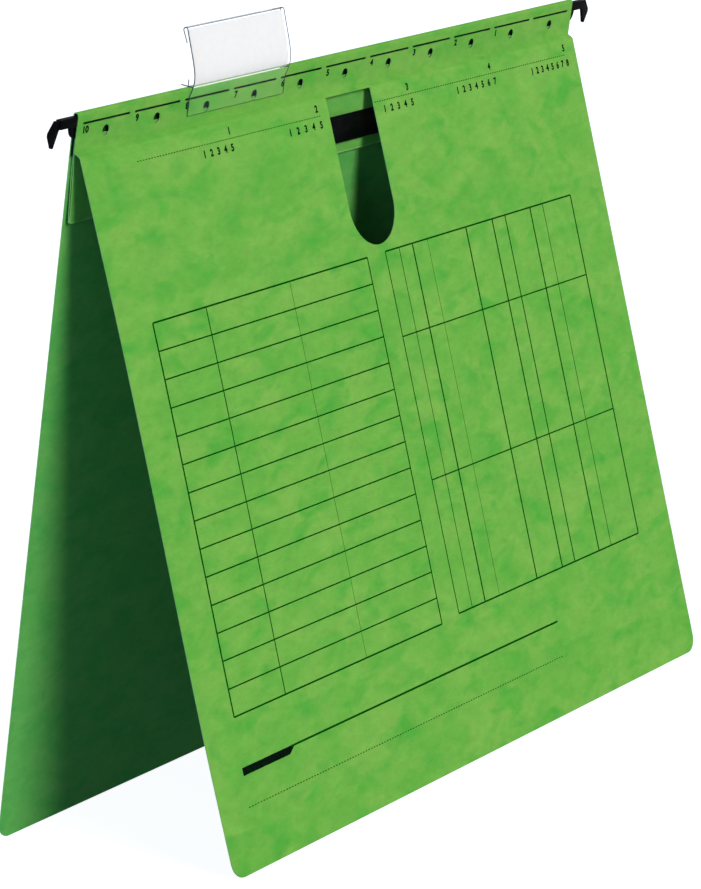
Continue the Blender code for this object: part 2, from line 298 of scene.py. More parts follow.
def spread(tree, value, low, high, to_low=0.0, to_high=1.0):
    """Stretch a value from one range to another, held at both ends."""
    node = tree.nodes.new("ShaderNodeMapRange")
    node.inputs["From Min"].default_value = low
    node.inputs["From Max"].default_value = high
    node.inputs["To Min"].default_value = to_low
    node.inputs["To Max"].default_value = to_high
    tree.links.new(value, node.inputs["Value"])
    return node.outputs["Result"]


def mixed(tree, share, first, second):
    """Mix two colours by a share; each is a socket or a colour."""
    node = tree.nodes.new("ShaderNodeMix")
    node.data_type = "RGBA"
    tree.links.new(share, node.inputs["Factor"])
    for socket, colour in ((node.inputs[6], first), (node.inputs[7], second)):
        if isinstance(colour, bpy.types.NodeSocket):
            tree.links.new(colour, socket)
        else:
            socket.default_value = colour
    return node.outputs[2]


def mathed(tree, operation, first, second):
    """One step of arithmetic on two values; each is a socket or a number."""
    node = tree.nodes.new("ShaderNodeMath")
    node.operation = operation
    for socket, value in zip(node.inputs, (first, second)):
        if isinstance(value, bpy.types.NodeSocket):
            tree.links.new(value, socket)
        else:
            socket.default_value = value
    return node.outputs["Value"]


def stretched(tree, vector, scale):
    """Coordinates scaled along each axis, so that a pattern gets a grain."""
    node = tree.nodes.new("ShaderNodeMapping")
    node.inputs["Scale"].default_value = scale
    tree.links.new(vector, node.inputs["Vector"])
    return node.outputs["Vector"]


# %% [markdown]
# ## The board's mottle
#
# The board is recycled fibre, dyed in the pulp. The dye settles unevenly, so the sheet is cloudy:
# yellower and bluer greens in patches of one to three centimetres, broken by smaller flecks, with
# short fibres at the scale of a hair. The clouds could be painted, but a node group of layered
# noise gives every board piece the same paper with no seam, and can be set for each use.

# %% The mottle group
CLOUD_SCALE, POOL_SCALE, FLECK_SCALE, FIBRE_SCALE = 75, 120, 330, 2600
SURFACE = [("Color", "NodeSocketColor"), ("Roughness", "NodeSocketFloat"),
           ("Height", "NodeSocketFloat")]


def build_mottle():
    """The group: clouds and pools of dye for the colour, flecks and fibres for the surface."""
    inputs = [("Vector", "NodeSocketVector"), ("Plain", "NodeSocketColor"),
              ("Yellow", "NodeSocketColor"), ("Blue", "NodeSocketColor")]
    group, start, end = new_group("board_mottle", inputs, SURFACE)
    place = stretched(group, start.outputs["Vector"], (0.55, 1, 1))
    clouds = spread(group, noise(group, place, CLOUD_SCALE, 3, 0.6, 0.4), 0.36, 0.66)
    pools = spread(group, noise(group, place, POOL_SCALE, 2, 0.5, 0.5), 0.5, 0.74)
    flecks = noise(group, place, FLECK_SCALE, 3, 0.6)
    fibres = noise(group, stretched(group, place, (0.4, 1, 1)), FIBRE_SCALE, 2, 0.6, 1.5)
    colour = mixed(group, clouds, start.outputs["Plain"], start.outputs["Yellow"])
    colour = mixed(group, mathed(group, "MULTIPLY", pools, 0.85), colour, start.outputs["Blue"])
    shade = mathed(group, "ADD", spread(group, flecks, 0.3, 0.7, -0.07, 0.07),
                   spread(group, fibres, 0.3, 0.7, -0.05, 0.05))
    bright = group.nodes.new("ShaderNodeHueSaturation")
    group.links.new(mathed(group, "ADD", shade, 1.0), bright.inputs["Value"])
    group.links.new(colour, bright.inputs["Color"])
    group.links.new(bright.outputs["Color"], end.inputs["Color"])
    group.links.new(spread(group, flecks, 0.3, 0.7, 0.74, 0.86), end.inputs["Roughness"])
    height = mathed(group, "ADD", fibres, mathed(group, "MULTIPLY", flecks, 0.6))
    group.links.new(height, end.inputs["Height"])
    return group


board_mottle = build_mottle()
print("group:", board_mottle.name, len(board_mottle.nodes), "nodes")

# %% [markdown]
# ## The finishes
#
# Every finish is a Principled shader fed by a few nodes on Object coordinates, so the pattern stays
# put on the piece. Values that are the same all over, such as a specular level, are set on the
# shader itself. Board shows its mottle on the faces and a paler core where it is cut. The faces that
# look into the file are painted a duller, cooler green, a painted shade for the cool shade inside;
# the flap's green lies between the two, so it carries part of that painted shade. The inside of the
# header is painted nearly black, a painted shade, so that slits and holes show dark. Ink lies thin
# on the board, so it lets a little of the fibre through: solid print is black, and fine rules stay a
# dark green.

# %% Board and ink
def new_finish(name, roughness=0.5, metallic=0.0, specular=0.5):
    """A material; gives it with its tree, its shader and its Object coordinates."""
    finish = bpy.data.materials.new(name)
    finish.use_nodes = True
    tree = finish.node_tree
    shader = tree.nodes["Principled BSDF"]
    shader.inputs["Roughness"].default_value = roughness
    shader.inputs["Metallic"].default_value = metallic
    shader.inputs["Specular IOR Level"].default_value = specular
    place = tree.nodes.new("ShaderNodeTexCoord").outputs["Object"]
    return finish, tree, shader, place


def raise_grain(tree, shader, height, strength, depth):
    """Feed a height to the shader as a bump."""
    bump = tree.nodes.new("ShaderNodeBump")
    bump.inputs["Strength"].default_value = strength
    bump.inputs["Distance"].default_value = depth
    tree.links.new(height, bump.inputs["Height"])
    tree.links.new(bump.outputs["Normal"], shader.inputs["Normal"])


def board(name, plain, yellow, blue):
    """Mottled board in three greens."""
    finish, tree, shader, place = new_finish(name, specular=0.08)
    mottle = tree.nodes.new("ShaderNodeGroup")
    mottle.node_tree = board_mottle
    mottle.inputs["Plain"].default_value = plain
    mottle.inputs["Yellow"].default_value = yellow
    mottle.inputs["Blue"].default_value = blue
    tree.links.new(place, mottle.inputs["Vector"])
    tree.links.new(mottle.outputs["Color"], shader.inputs["Base Color"])
    tree.links.new(mottle.outputs["Roughness"], shader.inputs["Roughness"])
    raise_grain(tree, shader, mottle.outputs["Height"], strength=0.35, depth=0.03 * MM)
    return finish


def ink(name, dark, worn):
    """Printing ink that breaks up a little over the fibres."""
    finish, tree, shader, place = new_finish(name, roughness=0.6, specular=0.01)
    coverage = spread(tree, noise(tree, place, 1800, 2), 0.5, 0.75)
    tree.links.new(mixed(tree, coverage, dark, worn), shader.inputs["Base Color"])
    return finish


green_board = board("green_board", tone(103, 176, 69), tone(124, 182, 79), tone(78, 170, 61))
# Painted shade: a duller, cooler green for the faces that look into the file.
inside_painted_shade_board = board("inside_painted_shade_board", tone(86, 168, 80), tone(97, 172, 85), tone(70, 163, 76))
# The flap's green lies between the two and carries part of that painted shade.
flap_board = board("flap_board", tone(95, 171, 74), tone(109, 176, 81), tone(76, 166, 69))
# Painted shade: the inside of the header, nearly black.
header_painted_shade = board("header_painted_shade", tone(22, 62, 26), tone(28, 70, 30), tone(16, 54, 22))
board_core_and_painted_highlight = board("board_core_and_painted_highlight", tone(126, 184, 100), tone(146, 196, 116), tone(110, 176, 94))
black_ink = ink("black_ink", tone(3, 15, 7), tone(11, 39, 17))
rule_ink = ink("rule_ink", tone(1, 72, 5), tone(4, 86, 12))
boards = (green_board, inside_painted_shade_board, flap_board, header_painted_shade, board_core_and_painted_highlight)
print("finishes:", [finish.name for finish in boards + (black_ink, rule_ink)])

# %% [markdown]
# ## Thickening the board
#
# A folded sheet gets its thickness from Solidify, half to each side, so its middle stays on the
# fold lines. Solidify can give the rim another material slot: that is the cut edge of the board,
# which shows on the real file as a pale hairline.

# %% Thicken
# Slot 1 is the cut edge and also painted highlight and painted dark rims; slot 2 is painted shade.
FACE_LOOK, CUT_AND_PAINTED_LOOK, PAINTED_SHADE_LOOK = 0, 1, 2
FACING = 0.9
FOLD_SMOOTH = radians(40)


def thicken(sheet, thickness):
    """Board thickness for a sheet, with a cut rim."""
    sheet.data.materials.clear()
    sheet.data.materials.append(green_board)
    sheet.data.materials.append(board_core_and_painted_highlight)
    apply_modifier(sheet, "SOLIDIFY", thickness=thickness, offset=0, use_even_offset=True,
                   material_offset_rim=CUT_AND_PAINTED_LOOK)
    edit(sheet, everything)
    bpy.ops.mesh.normals_make_consistent(inside=False)
    leave_edit()


def paint_inside_shade(sheet, inward):
    """Give the faces that look inward, 1 for back and -1 for front, the painted cool shade."""
    sheet.data.materials.append(inside_painted_shade_board)
    for face in sheet.data.polygons:
        if face.normal.y * inward > FACING and face.material_index == FACE_LOOK:
            face.material_index = PAINTED_SHADE_LOOK


def smooth_folds(piece):
    """Shade folds round and keep cut edges sharp."""
    pick(piece)
    bpy.ops.object.shade_smooth_by_angle(angle=FOLD_SMOOTH)


def seam(start, end, steps):
    """A rounded fold at (0, 0), from one point to another."""
    shares = [i / steps for i in range(steps + 1)]
    return [((1 - s) ** 2 * start[0] + s * s * end[0], (1 - s) ** 2 * start[1] + s * s * end[1])
            for s in shares]


# %% [markdown]
# ## The front cover
#
# The front cover hangs from a small ledge under the header. In the frame the two are apart by the
# fold's gap, because solids can't bend. The real board is one sheet there, so this piece runs from
# the ledge over the fold and down to the table.
#
# A sheet that has been opened and closed isn't flat: the photograph shows the left edge standing a
# millimetre forward at a third of its height and back again near the foot. A lattice gives that bow
# later, to the cover and its print together, so the sheet is cut into small fields here.

# %% Front cover
CREASE = 0.6 * MM
CREASE_STEPS = 4
FIELD = 10 * MM
FIELDS_ALONG, FIELDS_DOWN = 32, 24

bend = FRONT.inverted() @ (HEADER @ Vector((0, FACE_Y + CARD / 2, LEDGE_UP)))
ledge = Vector((bend.y, bend.z))
field_x = [-HALF_W + 2 * HALF_W * i / FIELDS_ALONG for i in range(1, FIELDS_ALONG)]
field_z = [-FIELD * i for i in range(1, FIELDS_DOWN + 1)]

path = [tuple(ledge), *seam(tuple(ledge.normalized() * CREASE), (0, -CREASE), CREASE_STEPS)]
path += [(0, z) for z in field_z] + [(0, -COVER_H)]
front_card = folded_strip("front_cover_card", path, -HALF_W, HALF_W)
round_corners(front_card, CORNER_R, lambda place: place.z < -COVER_H + CARD)
slice_sheet(front_card, field_x)
thicken(front_card, CARD)
paint_inside_shade(front_card, 1)
print("front cover:", len(front_card.data.polygons), "faces")

# %% [markdown]
# ## The finger cut-out
#
# The cut-out lets a finger reach the fastener. It is punched through with a block whose lower edges
# are rounded off, by a hair less than half its width, so that the two rounds don't meet.

# %% Finger cut-out
CUTOUT_W = 29 * MM
CUTOUT_L = 55.5 * MM
CUTOUT_ROUND = 0.999
CUTOUT_STEPS = 16
REACH = 2 * MM

half = CUTOUT_W / 2
cutout = block("cutout", (-half, -REACH, -CUTOUT_L), (half, REACH, 0))
edit(cutout, lambda place: False)
bpy.ops.mesh.select_mode(type="EDGE")
leave_edit()
for edge in cutout.data.edges:
    ends = [cutout.data.vertices[i].co for i in edge.vertices]
    runs_through = ends[0].x == ends[1].x and ends[0].z == ends[1].z
    edge.select = ends[0].z < -CUTOUT_L / 2 and runs_through
bpy.ops.object.mode_set(mode="EDIT")
bpy.ops.mesh.bevel(affect="EDGES", offset=half * CUTOUT_ROUND, segments=CUTOUT_STEPS)
leave_edit()
punch(front_card, [cutout], board_core_and_painted_highlight)
smooth_folds(front_card)
print("cut-out:", round(CUTOUT_L / MM, 1), "mm long")

# %% [markdown]
# ## The back cover
#
# The back cover is the plain half of the sheet. At rest it lies in line with the header's back
# layer, and the only mark of the fold is the score that was pressed into the board: a shallow bead,
# raised on the outside. That bead is drawn into the path, so it is shape and not paint.

# %% Back cover
SCORE = 0.45 * MM
BEAD = 0.14 * MM
BEAD_STEPS = 3

turns = [i / BEAD_STEPS for i in range(-BEAD_STEPS, BEAD_STEPS + 1)]
bead = [(BEAD * (1 + cos(pi * turn)) / 2, -SCORE * turn) for turn in turns]
path = bead + [(0, z) for z in field_z] + [(0, -COVER_H)]
back_card = folded_strip("back_cover_card", path, -HALF_W, HALF_W)
round_corners(back_card, CORNER_R, lambda place: place.z < -COVER_H + CARD)
slice_sheet(back_card, field_x)
thicken(back_card, CARD)
paint_inside_shade(back_card, -1)
smooth_folds(back_card)
lay(back_card, HEADER)
print("back cover:", len(back_card.data.polygons), "faces")

# %% [markdown]
# ## The header
#
# The header is the strip of board that is folded over the rail. Its front layer has eleven slits
# for index tabs and a row of round holes under them. Punching both layers of the fold would let
# light through the back, so the punches reach only a little way behind the front layer. A slit is
# less than a millimetre wide, and a touch wider where the tab's two tongues push it apart. The
# faces inside the fold are painted nearly black, a painted shade, so that slits and holes show as
# black marks.

# %% Header
SLIT_COUNT = 11
SLIT_PITCH = 28.6 * MM
SLIT_L = 26.0 * MM
SLIT_Z = HEADER_H - 4 * MM
SLIT_SHUT = 0.86 * MM
SLIT_SPREAD = 0.9 * MM
TAB_SLITS = (2, 3)
HOLE_Z = HEADER_H - 8 * MM
HOLE_R = 1.9 * MM
FOLD_STEPS = 12

slit_x = [(i - (SLIT_COUNT - 1) / 2) * SLIT_PITCH for i in range(SLIT_COUNT)]
fold_r = (HEADER_T - CARD) / 2
fold_z = HEADER_H - CARD / 2 - fold_r
over = arc((MIDDLE_Y, fold_z), fold_r, 180, 0, FOLD_STEPS)
path = [(FACE_Y + CARD / 2, LEDGE_UP), *over, (0, SCORE)]
header_card = folded_strip("header_card", path, -HALF_W, HALF_W)
thicken(header_card, CARD)
punches = []
y_from, y_to = FACE_Y - MM, FACE_Y + 2 * CARD
for i, x in enumerate(slit_x):
    gap = SLIT_SPREAD if i in TAB_SLITS else SLIT_SHUT
    low = (x - SLIT_L / 2, y_from, SLIT_Z - gap / 2)
    high = (x + SLIT_L / 2, y_to, SLIT_Z + gap / 2)
    punches.append(block("slit", low, high))
    punches.append(rod("hole", x, HOLE_Z, HOLE_R, y_from, y_to))
punch(header_card, punches, board_core_and_painted_highlight)
# Painted shade: the faces inside the fold take the nearly black board.
header_card.data.materials.append(header_painted_shade)
for face in header_card.data.polygons:
    outward = Vector((0, face.center.y - MIDDLE_Y, max(0, face.center.z - fold_z)))
    if face.material_index == FACE_LOOK and face.normal.dot(outward) < 0:
        face.material_index = PAINTED_SHADE_LOOK
smooth_folds(header_card)
lay(header_card, HEADER)
print("header:", len(slit_x), "slits and holes,", len(header_card.data.polygons), "faces")

# %% [markdown]
# ## The filing flap
#
# Inside hangs a flap of two plies, glued along the foot and sprung a little apart above it, so that
# from the end one sees two pale edges with a dark line between. Each ply is its own folded strip,
# tucked into the header, bent at the fold line and rounded at its lower corners. The foot is painted
# in the pale colour of a cut edge, a painted highlight that shows the lower edge as a light line.

# %% Filing flap
FLAP_TUCK = 6.5 * MM
FLAP_DROP = 22.5 * MM
FLAP_CORNER_R = 1.5 * MM
FLAP_FOOT = 0.5 * MM
FLAP_INSET = 1 * MM
PLY = 0.3 * MM
GLUED, SPRUNG = 0.01 * MM, 0.18 * MM
SPRUNG_FROM = -2 * MM
SPRUNG_SHARE = 0.8
PRONG_PITCH = 80 * MM
PRONG_SLOT = (0.8 * MM, 5.5 * MM)
BAR_Z = -11.35 * MM

flap_end = HALF_W - FLAP_INSET
flap_low = (FLAP_BEND - FLAP_DROP) / cos(FLAP_TILT)
plies = []
for side in (-1, 1):
    closed, apart = side * (PLY / 2 + GLUED), side * (PLY / 2 + SPRUNG)
    path = [(closed, FLAP_TUCK + FLAP_BEND), (closed, FLAP_BEND), (apart, SPRUNG_FROM)]
    path += [(apart, flap_low * SPRUNG_SHARE), (closed, flap_low + FLAP_FOOT), (closed, flap_low)]
    ply = folded_strip("ply", path, -flap_end, flap_end)
    round_corners(ply, FLAP_CORNER_R, lambda place: place.z < flap_low + CARD)
    thicken(ply, PLY)
    plies.append(ply)
flap_card = join("filing_flap_card", plies)
wide, tall = PRONG_SLOT
slots = []
for x in (-PRONG_PITCH / 2, PRONG_PITCH / 2):
    low = (x - wide / 2, -REACH, BAR_Z - tall / 2)
    high = (x + wide / 2, REACH, BAR_Z + tall / 2)
    slots.append(block("slot", low, high))
punch(flap_card, slots, board_core_and_painted_highlight)
# The flap's faces take the green that carries part of the painted shade.
flap_card.data.materials[FACE_LOOK] = flap_board
# Painted highlight: the foot of each ply takes the pale cut-edge colour.
for face in flap_card.data.polygons:
    if face.center.z < flap_low + FLAP_FOOT:
        face.material_index = CUT_AND_PAINTED_LOOK
smooth_folds(flap_card)
edit(flap_card, lambda place: place.z > 0)
bpy.ops.transform.rotate(value=-FLAP_TILT, orient_axis="X", center_override=(0, 0, 0))
leave_edit()
lay(flap_card, FLAP)
print("filing flap:", len(flap_card.data.polygons), "faces")

# %% [markdown]
# ## Ruled lines
#
# The front is printed with an index rule, two ruled tables, a title bar and a dotted writing line.
# The print could be a texture, but then it would blur up close. A film of ink as real, very thin
# shapes stays sharp at any size. Lines along the board lie a hair above those across it, so that no
# two faces share a plane where they cross.

# %% Pulling a rule
INK = 0.02 * MM
INK_GAP = 0.01 * MM
PRINT_Y = -CARD / 2 - INK_GAP
STRONG, FIRM, MEDIUM, FAINT, HAIR = 0.74 * MM, 0.62 * MM, 0.5 * MM, 0.34 * MM, 0.17 * MM


def film(name, u_from, u_to, v_from, v_to, lift=0.0):
    """Ink from u to u along the board and from v to v down from the fold."""
    back = PRINT_Y - lift
    return block(name, (u_from, back - INK, -v_to), (u_to, back, -v_from))


def rule_along(u_from, u_to, v, weight):
    """A line along the board, above the lines that run down it."""
    return film("rule", u_from, u_to, v - weight / 2, v + weight / 2, INK)


def rule_down(u, v_from, v_to, weight):
    """A line down the board."""
    return film("rule", u - weight / 2, u + weight / 2, v_from, v_to)


def repeat(piece, count, step):
    """Copies of a piece in a row along X."""
    apply_modifier(piece, "ARRAY", count=count, use_relative_offset=False,
                   use_constant_offset=True, constant_offset_displace=(step, 0, 0))


def dotted_rule(u_from, u_to, v, weight, dash, pitch):
    """One dash, repeated."""
    rule = film("dots", u_from, u_from + dash, v - weight / 2, v + weight / 2)
    repeat(rule, int((u_to - u_from) / pitch), pitch)
    return rule


def inked(name, parts, finish):
    """Join parts of the print and give them their ink."""
    printed = join(name, parts)
    printed.data.materials.clear()
    printed.data.materials.append(finish)
    return printed


# %% [markdown]
# ## The two tables
#
# The left table has fourteen even rows and two dividers. The right one has three bands and a row of
# columns, some ruled strongly and some so finely that they nearly vanish. Heights and places are
# read off the photograph through the camera that is set up at the end.

# %% Tables
ROWS = 14
LEFT_TABLE = (-140.6 * MM, -9.8 * MM, 58.8 * MM, 194.1 * MM)
RIGHT_TABLE = (2.1 * MM, 134.0 * MM, 58.6 * MM, 193.1 * MM)
LEFT_COLUMNS = ((-140.6, STRONG), (-110.0, MEDIUM), (-59.5, HAIR), (-9.8, FIRM))
RIGHT_COLUMNS = ((2.1, MEDIUM), (11.3, FAINT), (20.3, STRONG), (30.4, HAIR), (57.3, STRONG),
                 (76.0, STRONG), (85.3, FIRM), (103.6, STRONG), (112.9, FAINT), (134.0, STRONG))
RIGHT_BANDS = (90.0, 143.2)


def table(name, outline, columns, rows):
    """A ruled frame with its upright rules as (u in mm, weight) and its rows as v."""
    left, right, top, foot = outline
    parts = [rule_along(left, right, v, FIRM) for v in (top, foot)]
    parts += [rule_along(left, right, v, MEDIUM) for v in rows]
    parts += [rule_down(u * MM, top, foot, weight) for u, weight in columns]
    return inked(name, parts, rule_ink)


row_h = (LEFT_TABLE[3] - LEFT_TABLE[2]) / ROWS
left_rows = [LEFT_TABLE[2] + row_h * i for i in range(1, ROWS)]
left_table = table("print_left_table", LEFT_TABLE, LEFT_COLUMNS, left_rows)
right_table = table("print_right_table", RIGHT_TABLE, RIGHT_COLUMNS, [v * MM for v in RIGHT_BANDS])
print("tables:", ROWS, "rows and", len(RIGHT_COLUMNS) - 1, "columns")

# %% [markdown]
# ## Title bar and dotted lines
#
# A writing line starts in a heavy bar whose right end is cut on the slant: a block, of which the
# lower right edge is pulled back. The dotted lines are one dash, copied by an Array.

# %% Bar and lines
TITLE_V = 211.6 * MM
BAR_FROM, BAR_TO, BAR_H = -142.2 * MM, -110.5 * MM, 2.5 * MM
BAR_SLANT = 1.6
TITLE_TO = 65.0 * MM
WRITING_V = 224.8 * MM
WRITING_FROM = -143 * MM
WRITING_DOTS = (0.9 * MM, 1.7 * MM)
INDEX_V = 5.7 * MM
INDEX_SPANS = ((-129.7 * MM, -19 * MM), (15.2 * MM, 151.6 * MM))
INDEX_DOTS = (0.85 * MM, 1.6 * MM)

bar = film("bar", BAR_FROM, BAR_TO, TITLE_V - MEDIUM / 2, TITLE_V + BAR_H)
edit(bar, lambda place: place.x > BAR_TO - CARD and place.z < -TITLE_V - BAR_H / 2)
bpy.ops.transform.translate(value=(-BAR_H * BAR_SLANT, 0, 0))
leave_edit()
title_line = rule_along(BAR_TO - BAR_H, TITLE_TO, TITLE_V, STRONG)
black_bar = inked("bar", [bar], black_ink)
title = join("print_title_bar", [black_bar, inked("line", [title_line], rule_ink)])
dots = dotted_rule(WRITING_FROM, TITLE_TO, WRITING_V, FAINT, *WRITING_DOTS)
writing_line = inked("print_dotted_line", [dots], rule_ink)
spans = [dotted_rule(*span, INDEX_V, FAINT, *INDEX_DOTS) for span in INDEX_SPANS]
index_rule = inked("print_index_rule", spans, rule_ink)
print("title bar:", round((BAR_TO - BAR_FROM) / MM, 1), "mm")

# %% [markdown]
# ## Numbers of the index
#
# The index carries plain numbers: 1 to 5 over the rule and a short count under each. Text objects
# lie flat and face up. A bevel makes their strokes bolder; then each one becomes a mesh, is pressed
# as thin as ink, turned upright and set to its width, and joins the others.

# %% Index numbers
SWELL = 0.16 * MM
DIGIT_SHARE = 0.69


def number(text, u, z, height, breadth, print_y):
    """A printed number, its middle at u and its foot at z."""
    let_go()
    bpy.ops.object.text_add()
    made = bpy.context.object
    made.data.body = text
    made.data.align_x = "CENTER"
    made.data.size = (height - 2 * SWELL) / DIGIT_SHARE
    made.data.bevel_depth = SWELL
    made.data.bevel_resolution = 0
    bpy.ops.object.convert(target="MESH")
    made.scale = (breadth, 1, INK / (2 * SWELL))
    made.rotation_euler.x = pi / 2
    made.location = (u, print_y - INK / 2, z + SWELL)
    bpy.ops.object.transform_apply(location=True, rotation=True, scale=True)
    return made


INDEX_AT = (-75.5, -21.7, 38.0, 95.4, 150.5)
INDEX_Z, INDEX_BREADTH = -4.3 * MM, 0.95
COUNTS = ((-92.0, -75.5, 5), (-40.0, -20.5, 5), (21.0, 39.5, 5), (71.0, 97.5, 7),
          (125.0, 151.5, 8))
COUNT_Z, COUNT_BREADTH = -10.2 * MM, 0.98
DIGIT = 2.7 * MM

parts = [number(str(i + 1), u * MM, INDEX_Z, DIGIT, INDEX_BREADTH, PRINT_Y)
         for i, u in enumerate(INDEX_AT)]
for u_from, u_to, count in COUNTS:
    for i in range(count):
        u = u_from + (u_to - u_from) * i / (count - 1)
        parts.append(number(str(i + 1), u * MM, COUNT_Z, DIGIT, COUNT_BREADTH, PRINT_Y))
index_numbers = inked("print_index_numbers", parts, black_ink)
print("index numbers:", len(parts))

# %% [markdown]
# ## Numbers of the slits
#
# The header's places count down from 10 to 1, left of each hole. These digits are smaller and
# wider, and they lie on the header's plane.

# %% Slit numbers
SLIT_NUMBERS = SLIT_COUNT - 1
SLIT_NUMBER_LEFT, SLIT_NUMBER_UP = 11.5 * MM, 0.6 * MM
SLIT_DIGIT, SLIT_BREADTH = 2.5 * MM, 1.1

parts = []
for i in range(SLIT_NUMBERS):
    u, z = slit_x[i] - SLIT_NUMBER_LEFT, HOLE_Z + SLIT_NUMBER_UP
    text = str(SLIT_NUMBERS - i)
    parts.append(number(text, u, z, SLIT_DIGIT, SLIT_BREADTH, FACE_Y - INK_GAP))
slit_numbers = inked("print_slit_numbers", parts, black_ink)
lay(slit_numbers, HEADER)
print("slit numbers:", len(parts))

# %% [markdown]
# ## The bow
#
# A lattice is a cage: what lies in it follows its points. This one is three columns by seven rows,
# and only its left and middle columns move, out towards us above and back in near the foot. The
# cover and each printed piece are sliced at the same places, go through the same cage, and so the
# ink stays on the board.

# %% Bow the front
BOW = (0, 0.9, 1.0, 0.55, -0.15, -0.8, 0)
BOW_SHARE = (1.0, 0.35, 0.0)
CAGE_DEPTH = 20 * MM

let_go()
bpy.ops.object.add(type="LATTICE", location=(0, 0, -COVER_H / 2))
cage = bpy.context.object
cage.data.points_u, cage.data.points_v, cage.data.points_w = len(BOW_SHARE), 2, len(BOW)
cage.scale = (2 * HALF_W, CAGE_DEPTH, COVER_H)
for i, point in enumerate(cage.data.points):
    column, row = i % len(BOW_SHARE), i // (2 * len(BOW_SHARE))
    point.co_deform.y -= BOW_SHARE[column] * BOW[len(BOW) - 1 - row] * MM / CAGE_DEPTH

front_print = [left_table, right_table, title, writing_line, index_rule, index_numbers]
for piece in front_print:
    slice_sheet(piece, field_x)
    edit(piece, everything)
    for z in field_z:
        bpy.ops.mesh.select_all(action="SELECT")
        bpy.ops.mesh.bisect(plane_co=(0, 0, z), plane_no=(0, 0, 1))
    leave_edit()
bpy.context.view_layer.update()
for piece in (front_card, *front_print):
    apply_modifier(piece, "LATTICE", object=cage)
    lay(piece, FRONT)
bpy.data.objects.remove(cage)
print("bowed:", 1 + len(front_print), "pieces")

# %% [markdown]
# ## The mould's grain
#
# The hooks, the fastener's bar and its locks are black moulded plastic. A mould leaves a fine grain
# and no sharp edges. The grain is one node group, set coarser or finer for each piece.

# %% The grain group
HANDLED_SCALE = 160


def build_grain():
    """The group: fine grain for the height, and larger patches rubbed smooth by handling."""
    inputs = [("Vector", "NodeSocketVector"), ("Scale", "NodeSocketFloat"),
              ("Dark", "NodeSocketColor"), ("Rubbed", "NodeSocketColor")]
    group, start, end = new_group("moulded_grain", inputs, SURFACE)
    place = start.outputs["Vector"]
    fine = group.nodes.new("ShaderNodeTexNoise")
    fine.inputs["Detail"].default_value = 2
    group.links.new(place, fine.inputs["Vector"])
    group.links.new(start.outputs["Scale"], fine.inputs["Scale"])
    handled = spread(group, noise(group, place, HANDLED_SCALE, 4, 0.65), 0.5, 0.78)
    colour = mixed(group, handled, start.outputs["Dark"], start.outputs["Rubbed"])
    group.links.new(colour, end.inputs["Color"])
    group.links.new(spread(group, handled, 0, 1, 0.52, 0.36), end.inputs["Roughness"])
    group.links.new(fine.outputs["Fac"], end.inputs["Height"])
    return group


moulded_grain = build_grain()
print("group:", moulded_grain.name, len(moulded_grain.nodes), "nodes")

# %% [markdown]
# ## Dark plastic and metal
#
# Each plastic takes the grain at its own scale. The prongs are sheet metal under black lacquer, and
# the rail is drawn steel, streaked along its length.

# %% Dark finishes
def moulded(name, dark, rubbed, scale, metallic=0.0, depth=0.02 * MM):
    """A dark finish with a grain of this scale."""
    finish, tree, shader, place = new_finish(name, metallic=metallic, specular=0.015)
    grain = tree.nodes.new("ShaderNodeGroup")
    grain.node_tree = moulded_grain
    grain.inputs["Scale"].default_value = scale
    grain.inputs["Dark"].default_value = dark
    grain.inputs["Rubbed"].default_value = rubbed
    tree.links.new(place, grain.inputs["Vector"])
    tree.links.new(grain.outputs["Color"], shader.inputs["Base Color"])
    tree.links.new(grain.outputs["Roughness"], shader.inputs["Roughness"])
    raise_grain(tree, shader, grain.outputs["Height"], strength=0.4, depth=depth)
    return finish


hook_plastic = moulded("hook_plastic", tone(4, 4, 5), tone(12, 12, 14), 5200)
bar_plastic = moulded("bar_plastic", tone(2, 5, 3), tone(9, 12, 10), 3800)
lock_plastic = moulded("lock_plastic", tone(9, 9, 10), tone(22, 22, 24), 4400)
prong_lacquer = moulded("prong_lacquer", tone(16, 16, 17), tone(38, 38, 40), 2600,
                        metallic=0.35, depth=0.01 * MM)


def drawn_steel():
    """Bright steel, streaked along X."""
    finish, tree, shader, place = new_finish("rail_steel", roughness=0.35, metallic=1.0)
    streaks = noise(tree, stretched(tree, place, (0.02, 1, 1)), 5200, 3)
    colour = mixed(tree, streaks, tone(150, 152, 156), tone(206, 207, 210))
    tree.links.new(colour, shader.inputs["Base Color"])
    tree.links.new(spread(tree, streaks, 0.3, 0.7, 0.28, 0.45), shader.inputs["Roughness"])
    raise_grain(tree, shader, streaks, strength=0.2, depth=0.01 * MM)
    return finish


rail_steel = drawn_steel()
dark_finishes = (hook_plastic, bar_plastic, lock_plastic, prong_lacquer)
print("dark finishes:", [finish.name for finish in dark_finishes], "and", rail_steel.name)

# %% [markdown]
# ## Clear plastic and label paper
#
# The tab is a thin clear extrusion. Glass with hardly any tint or sparkle does for the sheet, and
# it lets lamps through to what lies behind it. Where the extrusion is sawn off, the light that runs
# inside the sheet is lost, so the real tab's ends look dark blue: here that dark is painted shade,
# an opaque finish of its own on the ends, and on the foot and the crest of the rolled edge, which
# show as thin dark lines. The label is smooth office paper.

